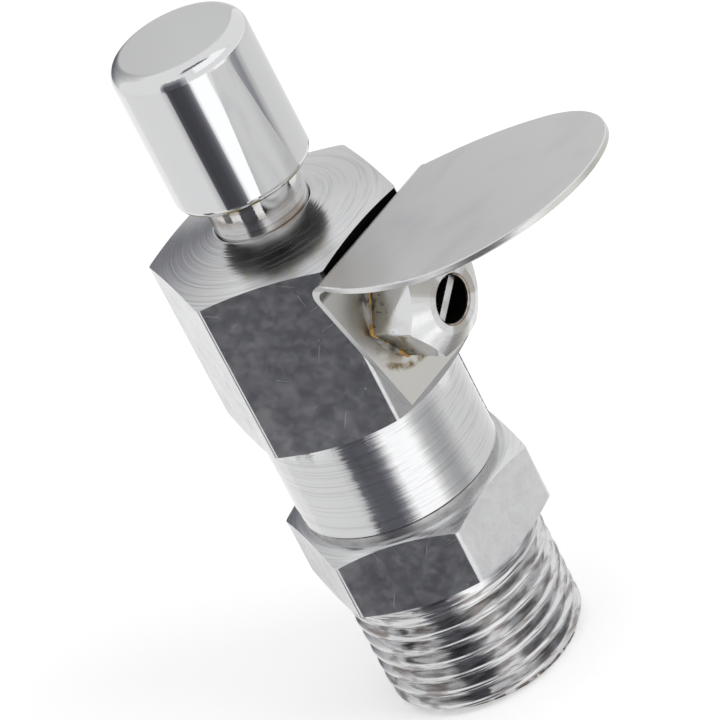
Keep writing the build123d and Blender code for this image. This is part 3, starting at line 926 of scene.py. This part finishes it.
@dataclass(frozen=True)
class HexBar:
    """Hexagonal bar with rounded corners, about an axis."""

    flats: float
    edge_round: float

    def radius(self, angle: float) -> float:
        """Distance from the axis to the outline.

        Args:
            angle: Direction from the middle of a flat, in radians.

        Returns:
            The distance in metres.
        """
        sixth = math.pi / 3
        off = abs((angle + sixth / 2) % sixth - sixth / 2)
        half = self.flats / 2
        inner = half - self.edge_round
        if off <= math.atan2(inner * math.tan(sixth / 2), half):
            return half / math.cos(off)
        centre = inner / math.cos(sixth / 2)
        turn = sixth / 2 - off
        return centre * math.cos(turn) + math.sqrt(self.edge_round**2 - (centre * math.sin(turn))**2)

    def angles(self, steps: int, corner_steps: int = 4) -> list[float]:
        """Directions that sample the outline, closer together at the corners.

        Args:
            steps: Even steps all round.
            corner_steps: Extra steps on each side of a corner.

        Returns:
            The directions in radians, from the middle of a flat, in order.
        """
        sixth = math.pi / 3
        reach = 1.05 * self.edge_round * math.tan(sixth / 2) / (self.flats / 2 / math.cos(sixth / 2))
        even = {round(2 * math.pi * step / steps, 6) for step in range(steps)}
        close = {
            round((corner + 0.5) * sixth + reach * step / corner_steps, 6)
            for corner in range(6)
            for step in range(-corner_steps, corner_steps + 1)
        }
        return sorted(even | close)


@dataclass
class InletNipple:
    """The nipple with its half-inch pipe thread cut, and the strainer in its mouth."""

    flats: float = 22.2 * MM
    edge_round: float = 0.6 * MM
    chamfer_radius: float = 10.7 * MM
    chamfer_slope: float = math.tan(math.radians(25))
    collar: float = 8.0 * MM
    thread_radius: float = 10.4775 * MM
    pitch: float = 25.4 / 14 * MM
    form: float = 0.6403
    crest_slope: float = 3.0
    crest_power: int = 6
    lead_in: float = 1.0 * MM
    runout: Span = (-1.1 * MM, -2.6 * MM)
    mouth: float = 7.1 * MM
    groove: float = 7.5 * MM
    waterway: float = 5.25 * MM
    bore: float = 7.0 * MM
    spigot: float = 8.5 * MM
    ledges: Quad = (-5.0 * MM, -7.0 * MM, -7.6 * MM, -8.7 * MM)
    columns: int = 150
    rows_per_turn: int = 26
    nick: float = 0.05 * MM
    nick_scale: Span = (9.0, 1.3 / MM)
    nick_share: float = 0.25
    sharp: float = 35.0

    @property
    def depth(self) -> float:
        """Depth of the thread's form."""
        return self.form * self.pitch

    def crest(self, angle: float, height: float) -> float:
        """How far the thread stands at a place, from 0 at the root to 1 at the crest.

        Args:
            angle: Direction round the axis.
            height: Height along the axis.

        Returns:
            The share of the thread's depth.
        """
        phase = (height / self.pitch - angle / (2 * math.pi)) % 1.0
        slope = (abs(2 * phase - 1) - 0.5) * self.crest_slope
        return 0.5 + 0.5 * slope / (1 + abs(slope)**self.crest_power)**(1 / self.crest_power)

    def thread_point(self, angle: float, height: float, end: float) -> float:
        """Radius of the threaded inlet at a place.

        Args:
            angle: Direction round the axis.
            height: Height along the axis.
            end: Height of the inlet's end.

        Returns:
            The radius in metres.
        """
        start, full = self.runout
        fade = min(1.0, max(0.0, (height - start) / (full - start)))
        fade = fade * fade * (3 - 2 * fade)
        crest = self.crest(angle, height)
        radius = self.thread_radius - self.depth * (1 - crest) * fade
        ring, rise = self.nick_scale
        spot = Vector((math.cos(angle) * ring, math.sin(angle) * ring, height * rise))
        radius -= self.nick * max(0.0, noise.noise(spot) - self.nick_share) * crest
        return min(radius, self.thread_radius - self.lead_in + (height - end))

    def section(self, angle: float, bar: HexBar, end: float, top: float) -> list[Vector]:
        """One closed section through the nipple.

        Args:
            angle: Direction round the axis, from the middle of a flat.
            bar: The collar's hexagon.
            end: Height of the inlet's end.
            top: Height of the spigot's end.

        Returns:
            The section's points.
        """
        outline = bar.radius(angle)
        drop = max(0.0, outline - self.chamfer_radius) * self.chamfer_slope
        shelf, screen, clip, clip_end = self.ledges
        points = [
            (self.bore, top), (self.bore, shelf), (self.waterway, shelf), (self.waterway, screen),
            (self.mouth, screen), (self.mouth, clip), (self.groove, clip), (self.groove, clip_end),
            (self.mouth, clip_end), (self.mouth, end),
        ]
        rows = round(-end / self.pitch * self.rows_per_turn)
        heights = [end + (0.0 - end) * row / rows for row in range(rows + 1)]
        points += [(self.thread_point(angle, height, end), height) for height in heights]
        points += [
            (self.chamfer_radius, 0.0), (outline, drop), (outline, self.collar - drop),
            (self.chamfer_radius, self.collar), (self.spigot, self.collar), (self.spigot, top),
        ]
        way = outward(math.degrees(angle))
        return [way * radius + Vector((0.0, 0.0, height)) for radius, height in points]

    def build(self) -> None:
        """Makes the threaded nipple in place of the plain one, and dresses the strainer."""
        low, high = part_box("inlet_nipple")
        bar = HexBar(self.flats, self.edge_round)
        columns = [self.section(angle, bar, low.z, high.z) for angle in bar.angles(self.columns)]
        finish = BarChrome("nipple plating", turned_top=-0.05 * MM, haze=0.05, round_rough=0.05, stained=True)
        mesh = ring_mesh("inlet_nipple_threaded", columns, self.sharp)
        piece = add_piece("inlet_nipple_threaded", mesh, finish.material(), Body.HOUSING)
        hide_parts("inlet_nipple")
        dress(("strainer_screen", "strainer_clip"), PlainMetal("strainer steel", STEEL).material())


@dataclass
class ValveBody:
    """The body, and the gasket that it is screwed down on."""

    neck_top: float = 20.1 * MM
    jet_flat: float = -11.1 * MM
    fold_foot: float = 36.4 * MM

    def build(self) -> None:
        """Dresses the body and its gasket."""
        # the jet flat and the crevice under the guard's fold get painted shade
        finish = BarChrome("body plating", turned_top=self.neck_top + 0.05 * MM, haze=0.05,
                           shade_front=self.jet_flat + 0.05 * MM, shade_foot=self.fold_foot)
        dress(("body",), finish.material())
        dress(("body_gasket",), PlainMetal("joint ring", (0.50, 0.50, 0.50)).material())


@dataclass
class PushButton:
    """The button and the stem that it is screwed on."""

    def build(self) -> None:
        """Dresses the button and the stem."""
        low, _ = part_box("push_button")
        finish = ButtonChrome("button plating", haze=0.02, roughness=0.03, foot=low.z)
        dress(("push_button",), finish.material())
        dress(("stem",), StemChrome("stem plating").material())


@dataclass
class ValveCore:
    """What works inside the body: seals, seat, washer, holder, nut, spring and spring seat."""

    joint: str = "button_press"
    travel: float = 4.0 * MM

    def coil(self, steel: bpy.types.Material) -> None:
        """Puts in a copy of the spring, carried by the housing.

        Args:
            steel: The spring's finish.
        """
        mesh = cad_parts["return_spring"].data.copy()
        mesh.materials.clear()
        piece = add_piece("return_spring_coil", mesh, steel, Body.HOUSING)
        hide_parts("return_spring")
        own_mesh(piece)

    def build(self) -> None:
        """Dresses the inner pieces and adds the spring."""
        dress(("upper_o_ring", "lower_o_ring", "valve_washer"),
              Soft("seal rubber", (0.02, 0.02, 0.021), (0.035, 0.035, 0.036), 0.5).material())
        dress(("valve_seat", "washer_holder", "washer_nut", "spring_seat"),
              PlainMetal("bare brass", (0.72, 0.53, 0.25)).material())
        steel = PlainMetal("spring steel", STEEL).material()
        dress(("lock_washer",), steel)
        self.coil(steel)
        dress(("seat_gasket",), Soft("seat fibre", (0.30, 0.12, 0.05), (0.42, 0.20, 0.10)).material())


@dataclass
class JetNozzle:
    """The nozzle, its washer and divider, and the sealant pressed out at its base."""

    flats: float = 9.5 * MM
    edge_round: float = 0.3 * MM
    bead: float = 0.20 * MM
    bead_swing: float = 0.22 * MM
    bead_steps: int = 180
    bead_sides: int = 10

    def bead_columns(self, base: float, height: float) -> list[list[Vector]]:
        """Sections of the bead of sealant round the nozzle's base.

        Args:
            base: Where the nozzle's hexagon starts, along Y.
            height: Height of the jet axis.

        Returns:
            One closed section for each step round the nozzle.
        """
        bar = HexBar(self.flats, self.edge_round)
        columns = []
        for angle in bar.angles(self.bead_steps, 3):
            out = Vector((math.sin(angle), 0.0, math.cos(angle)))
            swell = noise.noise(out * 4.0 + Vector((3.0, 0.0, 0.0))) + 0.5 * noise.noise(out * 11.0)
            half = self.bead + self.bead_swing * max(-0.6, swell)
            middle = Vector((0.0, base + 0.15 * MM, height)) + out * bar.radius(angle)
            columns.append([
                middle + out * half * math.cos(turn) + Vector((0.0, half * math.sin(turn), 0.0))
                for turn in (2 * math.pi * side / self.bead_sides for side in range(self.bead_sides))
            ])
        return columns

    def build(self) -> None:
        """Dresses the nozzle's nodes and adds the sealant."""
        low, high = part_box("nozzle")
        height = (low.z + high.z) / 2
        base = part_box("nozzle_washer")[0].y
        lathe = Turning(groove_depth=3.0e-6, waver=0.25)
        finish = NozzleChrome("nozzle plating", turning=lathe, axis_height=height, front=low.y, base=base)
        dress(("nozzle",), finish.material())
        dress(("jet_divider",), PlainMetal("divider strip", (0.62, 0.62, 0.61)).material())
        washer = Soft("washer fibre", (0.12, 0.11, 0.09), (0.46, 0.45, 0.42), 0.45)
        dress(("nozzle_washer",), washer.material())
        sealant = Soft("set sealant", (0.52, 0.29, 0.05), (0.30, 0.14, 0.03), 0.3, 1400.0)
        mesh = ring_mesh("nozzle_sealant", self.bead_columns(base, height), 180)
        piece = add_piece("nozzle_sealant", mesh, sealant.material(), Body.HOUSING)


@dataclass
class MouthGuard:
    """The folded sheet over the jet."""

    def build(self) -> None:
        """Dresses the guard."""
        low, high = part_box("nozzle")
        dress(("mouth_guard",), SatinSheet("guard sheet", (low.z + high.z) / 2).material())


@dataclass(frozen=True)
class PhotoCamera:
    """The camera at the photograph's place, rolled as the part lies in the picture."""

    azimuth: float = -40.442
    elevation: float = 29.354
    roll: float = 27.466
    target: float = 24.05 * MM
    distance: float = 493.27 * MM
    right_shift: float = 2.450 * MM
    up_shift: float = -1.085 * MM
    focal_pixels: float = 5155.4
    picture_pixels: float = 720.0
    sensor: float = 36.0

    def axes(self) -> tuple[Vector, Vector, Vector]:
        """Gives the directions to the right, up and back, as the camera is held."""
        turn, rise, roll = (math.radians(part) for part in (self.azimuth, self.elevation, self.roll))
        back = Vector((math.sin(turn) * math.cos(rise), -math.cos(turn) * math.cos(rise), math.sin(rise)))
        level = Vector((math.cos(turn), math.sin(turn), 0.0))
        upright = back.cross(level)
        right = level * math.cos(roll) - upright * math.sin(roll)
        up = level * math.sin(roll) + upright * math.cos(roll)
        return right, up, back

    def eye(self) -> Vector:
        """Gives the camera's place."""
        right, up, back = self.axes()
        aim = Vector((0.0, 0.0, self.target)) + right * self.right_shift + up * self.up_shift
        return aim + back * self.distance

    def build(self) -> None:
        """Makes the camera and sets it as the scene's own."""
        data = bpy.data.cameras.new("photo")
        data.sensor_width = self.sensor
        data.lens = self.focal_pixels / self.picture_pixels * self.sensor
        camera = put("photo", data)
        camera.matrix_world = Matrix.Translation(self.eye()) @ Matrix(self.axes()).transposed().to_4x4()
        bpy.context.scene.camera = camera


class ReflectorCards:
    """Cards that only show in the plating: they glow in tones set point by point."""

    def __init__(self, eye: Vector, floor: float) -> None:
        """Keeps the camera's place and the floor's height, and makes the cards' glow."""
        self.eye = eye
        self.floor = floor
        self.lift = 0.2 * MM
        graph = ShaderGraph("card glow")
        graph.set("Base Color", (0.0, 0.0, 0.0, 1.0))
        graph.set("Specular IOR Level", 0.0)
        tone = graph.node("ShaderNodeAttribute", attribute_name="tone").outputs["Fac"]
        cool = graph.blend(graph.ramp(tone, 0.1, 0.7), (0.95, 0.96, 1.08), (1.0, 1.0, 1.0))
        graph.set("Emission Color", cool)
        graph.set("Emission Strength", tone)
        self.glow = graph.material

    def lay(self, name: str, points: Sequence[Sequence[Vector]], tones: Sequence[Sequence[float]]) -> None:
        """Makes one card.

        Args:
            name: The card's name.
            points: Its corners, row by row.
            tones: The glow at each of them.
        """
        width = len(points[0])
        faces = [
            (row * width + col, row * width + col + 1, (row + 1) * width + col + 1, (row + 1) * width + col)
            for row in range(len(points) - 1)
            for col in range(width - 1)
        ]
        mesh = bpy.data.meshes.new(name)
        mesh.from_pydata([point for row in points for point in row], [], faces)
        layer = mesh.attributes.new("tone", "FLOAT", "POINT")
        layer.data.foreach_set("value", [tone for row in tones for tone in row])
        mesh.materials.append(self.glow)
        card = put(name, mesh)
        for kind in ("camera", "diffuse", "shadow", "transmission"):
            setattr(card, f"visible_{kind}", False)

    def landing(self, point: Vector, normal: Vector) -> Vector:
        """Gives the place on the floor that the camera sees mirrored in a point of the part."""
        sight = (point - self.eye).normalized()
        out = sight - 2 * sight.dot(normal) * normal
        return point + out * ((self.floor + self.lift - point.z) / out.z)

    def sector(self, name: str, start: float, end: float, tone: float, reach: float = 300.0 * MM) -> None:
        """Lays a sector of one tone on the floor.

        Args:
            name: The card's name.
            start: First azimuth in degrees.
            end: Last azimuth in degrees.
            tone: Its glow.
            reach: Its outer radius.
        """
        steps = max(2, round(abs(end - start) / 4))
        ways = [outward(start + (end - start) * step / steps) for step in range(steps + 1)]
        lift = Vector((0.0, 0.0, self.floor + self.lift / 2))
        points = [[way * radius + lift for way in ways] for radius in (12.0 * MM, reach)]
        self.lay(name, points, [[tone] * len(ways)] * 2)

    def wall(self, name: str, reach: float, azimuths: Sequence[float], rises: Sequence[float],
             tones: Sequence[Sequence[float]]) -> None:
        """Stands a curved card round the part.

        Args:
            name: The card's name.
            reach: Its distance from the valve axis.
            azimuths: Its columns, in degrees.
            rises: Its rows, as elevations in degrees.
            tones: The glow in each row and column.
        """
        points = [
            [outward(azimuth) * reach + Vector((0.0, 0.0, reach * math.tan(math.radians(rise))))
             for azimuth in azimuths]
            for rise in rises
        ]
        self.lay(name, points, tones)

    def for_round(self, name: str, radius: float, heights: Span,
                  stops: Sequence[Span], middle: float) -> None:
        """Lays the card that shows in a round surface.

        Args:
            name: The card's name.
            radius: The surface's radius.
            heights: Its lower and upper end.
            stops: Angles from the middle in degrees, each with the tone that shows there.
            middle: Azimuth that the angles count from.
        """
        points = [
            [self.landing(way * radius + Vector((0.0, 0.0, height)), way)
             for way in (outward(middle + angle) for angle, _ in stops)]
            for height in heights
        ]
        self.lay(name, points, [[tone for _, tone in stops]] * 2)

    def for_flat(self, name: str, azimuth: float, flats: float, heights: Span,
                 tones: tuple[Span, Span], margin: float = 0.2) -> None:
        """Lays the card that shows in one flat of a hexagon.

        Args:
            name: The card's name.
            azimuth: Direction that the flat faces, in degrees.
            flats: Size across the hexagon's flats.
            heights: The flat's lower and upper end.
            tones: What shows at its lower left and right, then at its upper left and right.
            margin: Share by which the card stands past the flat on each side.
        """
        normal = outward(azimuth)
        side = outward(azimuth + 90.0) * (flats / 2 * math.tan(math.pi / 6) * (1 + 2 * margin))
        low, high = heights
        past = (high - low) * margin
        points = [
            [self.landing(normal * (flats / 2) + side * way + Vector((0.0, 0.0, height)), normal)
             for way in (-1.0, 1.0)]
            for height in (low - past, high + past)
        ]
        self.lay(name, points, tones)


@dataclass
class Studio:
    """White floor and surroundings, a soft lamp and the cards that the plating mirrors."""

    camera: PhotoCamera
    floor_size: float = 6.0
    floor_white: float = 0.80
    floor_glow: float = 0.36
    sky: float = 1.0
    fill: float = 0.75
    key_energy: float = 3.2
    key_size: float = 0.45
    key_place: Triple = (0.15, -0.75, 0.85)
    key_aim: Triple = (0.0, 0.0, 0.02)
    dark: float = 0.10
    flats: float = 22.2 * MM

    def build(self) -> None:
        """Sets up the floor, world, lamp and cards."""
        floor = CAD_BOX[0].z
        self.lay_floor(floor)
        self.fill_world()
        self.hang_lamp()
        self.set_cards(ReflectorCards(self.camera.eye(), floor))

    def set_cards(self, cards: ReflectorCards) -> None:
        """Sets the cards: dark sectors, walls, and one for each large plated surface.

        Args:
            cards: What makes the cards.
        """
        middle = self.camera.azimuth
        cards.sector("card_dark_left", middle - 50, middle - 15, self.dark, 125.0 * MM)
        cards.sector("card_dark_right", 112, 140, self.dark, 170.0 * MM)
        cards.sector("card_dark_back", 226, 246, self.dark)
        cards.wall("card_wall_left", 0.32, (middle - 52, middle - 46, middle - 22, middle - 10),
                   (-8, 20, 42), ((0.6, 0.11, 0.11, 0.6), (0.6, 0.13, 0.13, 0.6), (0.9, 0.5, 0.5, 0.9)))
        cards.wall("card_wall_far", 0.60, (118, 139, 146, 150, 157, 170, 190),
                   (-3, 12, 25, 40, 52),
                   ((0.75, 0.75, 0.5, 0.14, 0.14, 0.3, 0.9), (0.75, 0.75, 0.5, 0.16, 0.16, 0.3, 0.9),
                    (0.74, 0.75, 0.7, 0.38, 0.34, 0.5, 0.9), (0.78, 0.8, 0.75, 0.66, 0.62, 0.7, 0.9),
                    (0.9, 0.9, 0.9, 0.85, 0.85, 0.9, 0.9)))
        cards.wall("card_front_sky", 0.40, (-38, -30, 0, 30, 38), (26, 33, 62, 68),
                   ((0.9,) * 5, (0.9, 1.3, 1.3, 1.3, 0.9), (0.9, 1.3, 1.3, 1.3, 0.9), (0.9,) * 5))
        cards.wall("card_over", 0.20, (middle - 25, middle - 15, middle + 50, middle + 60), (62, 66, 76, 80),
                   ((0.9, 0.9, 0.9, 0.9), (0.9, 0.2, 0.2, 0.9), (0.9, 0.2, 0.2, 0.9), (0.9, 0.9, 0.9, 0.9)))
        cards.for_round("card_button", 6.95 * MM, (44.5 * MM, 130.0 * MM), (
            *((angle, 0.95) for angle in range(-66, -26, 4)), (-25, 0.7), (-23.4, 0.11), (-20, 0.075),
            (-13, 0.085), (-8.5, 0.14), (-5.8, 0.30), (-4.2, 1.1), (-2.5, 1.45), (9, 1.45), (11, 1.0),
            (16, 1.02), (18, 1.3), (26, 1.3), (30, 0.8), (34, 0.42), (38, 0.36), (42, 0.62), (46, 0.84),
            *((angle, 0.86) for angle in range(50, 88, 4)), (88, 0.95)), middle)
        cards.for_round("card_neck", 10.45 * MM, (8.0 * MM, 20.5 * MM), (
            (-62, 0.92), (-45, 0.92), (-29, 0.88), (-24.5, 0.7), (-22, 0.2), (-18, 0.14), (-9, 0.14),
            (-5, 0.3), (-2, 0.9), (1, 1.4), (14, 1.42), (18, 0.95), (21, 0.66), (26, 0.52), (30, 0.5),
            (35, 0.66), (40, 0.84), (60, 0.84), (78, 0.95)), middle)
        cards.for_round("card_thread", 10.0 * MM, (-11.0 * MM, 1.0 * MM), (
            (-60, 0.9), (-40, 0.85), (-27, 0.7), (-23, 0.16), (-8, 0.14), (-3, 0.5), (1, 1.4), (12, 1.4),
            (17, 0.6), (24, 0.4), (50, 0.42), (60, 0.8), (75, 0.9)), middle)
        for name, bottom, top, front, left, right in (
            ("body", 20.1 * MM, 39.5 * MM, ((0.135, 0.115), (0.12, 0.105)), ((0.46, 0.82), (0.36, 0.66)),
             ((0.84, 0.84), (0.84, 0.84))),
            ("collar", 0.0, 8.0 * MM, ((0.115, 0.115), (0.105, 0.105)), ((0.52, 0.80), (0.40, 0.66)),
             ((0.88, 0.86), (0.88, 0.86))),
        ):
            heights = (bottom, top)
            cards.for_flat(f"card_{name}_front", -60, self.flats, heights, front)
            cards.for_flat(f"card_{name}_left", -120, self.flats, heights, left, 0.1)
            cards.for_flat(f"card_{name}_right", 0, self.flats, heights, right)

    def lay_floor(self, height: float) -> None:
        """Lays the floor, which glows a little where it is looked at or mirrored.

        Args:
            height: Height of the floor.
        """
        half = self.floor_size / 2
        mesh = bpy.data.meshes.new("floor")
        corners = [(-half, -half, height), (half, -half, height), (half, half, height), (-half, half, height)]
        mesh.from_pydata(corners, [], [(0, 1, 2, 3)])
        graph = ShaderGraph("floor white")
        graph.set("Base Color", (self.floor_white,) * 3 + (1.0,))
        graph.set("Roughness", 1.0)
        graph.set("Specular IOR Level", 0.0)
        graph.set("Emission Color", WHITE)
        graph.set("Emission Strength", graph.times(graph.in_sight(), self.floor_glow))
        mesh.materials.append(graph.material)
        put("floor", mesh)

    def fill_world(self) -> None:
        """Makes the surroundings white to look at and mirror, and a little dimmer as a lamp."""
        world = bpy.data.worlds.new("studio")
        bpy.context.scene.world = world
        graph = NodeGraph(world)
        background = graph.tree.nodes["Background"]
        graph.feed(background.inputs["Color"], WHITE)
        graph.feed(background.inputs["Strength"], graph.ramp(graph.in_sight(), 0.0, 1.0, self.fill, self.sky))

    def hang_lamp(self) -> None:
        """Hangs the soft key lamp, aimed at the part."""
        lamp = bpy.data.lights.new("key", "AREA")
        lamp.shape = "SQUARE"
        lamp.size = self.key_size
        lamp.energy = self.key_energy
        key = put("key", lamp)
        key.location = self.key_place
        aim = Vector(self.key_aim) - Vector(self.key_place)
        key.rotation_euler = aim.to_track_quat("-Z", "Y").to_euler()
        key.visible_glossy = False


def main() -> None:
    """Builds the part's looks, the studio and the camera in order."""
    logging.basicConfig(level=logging.INFO, format="%(name)s: %(message)s")
    bpy.context.scene.view_settings.view_transform = "Standard"
    for assembly in (InletNipple(), ValveBody(), ValveCore(), PushButton(), JetNozzle(), MouthGuard()):
        assembly.build()
    camera = PhotoCamera()
    Studio(camera).build()
    camera.build()


if __name__ == "__main__":
    main()
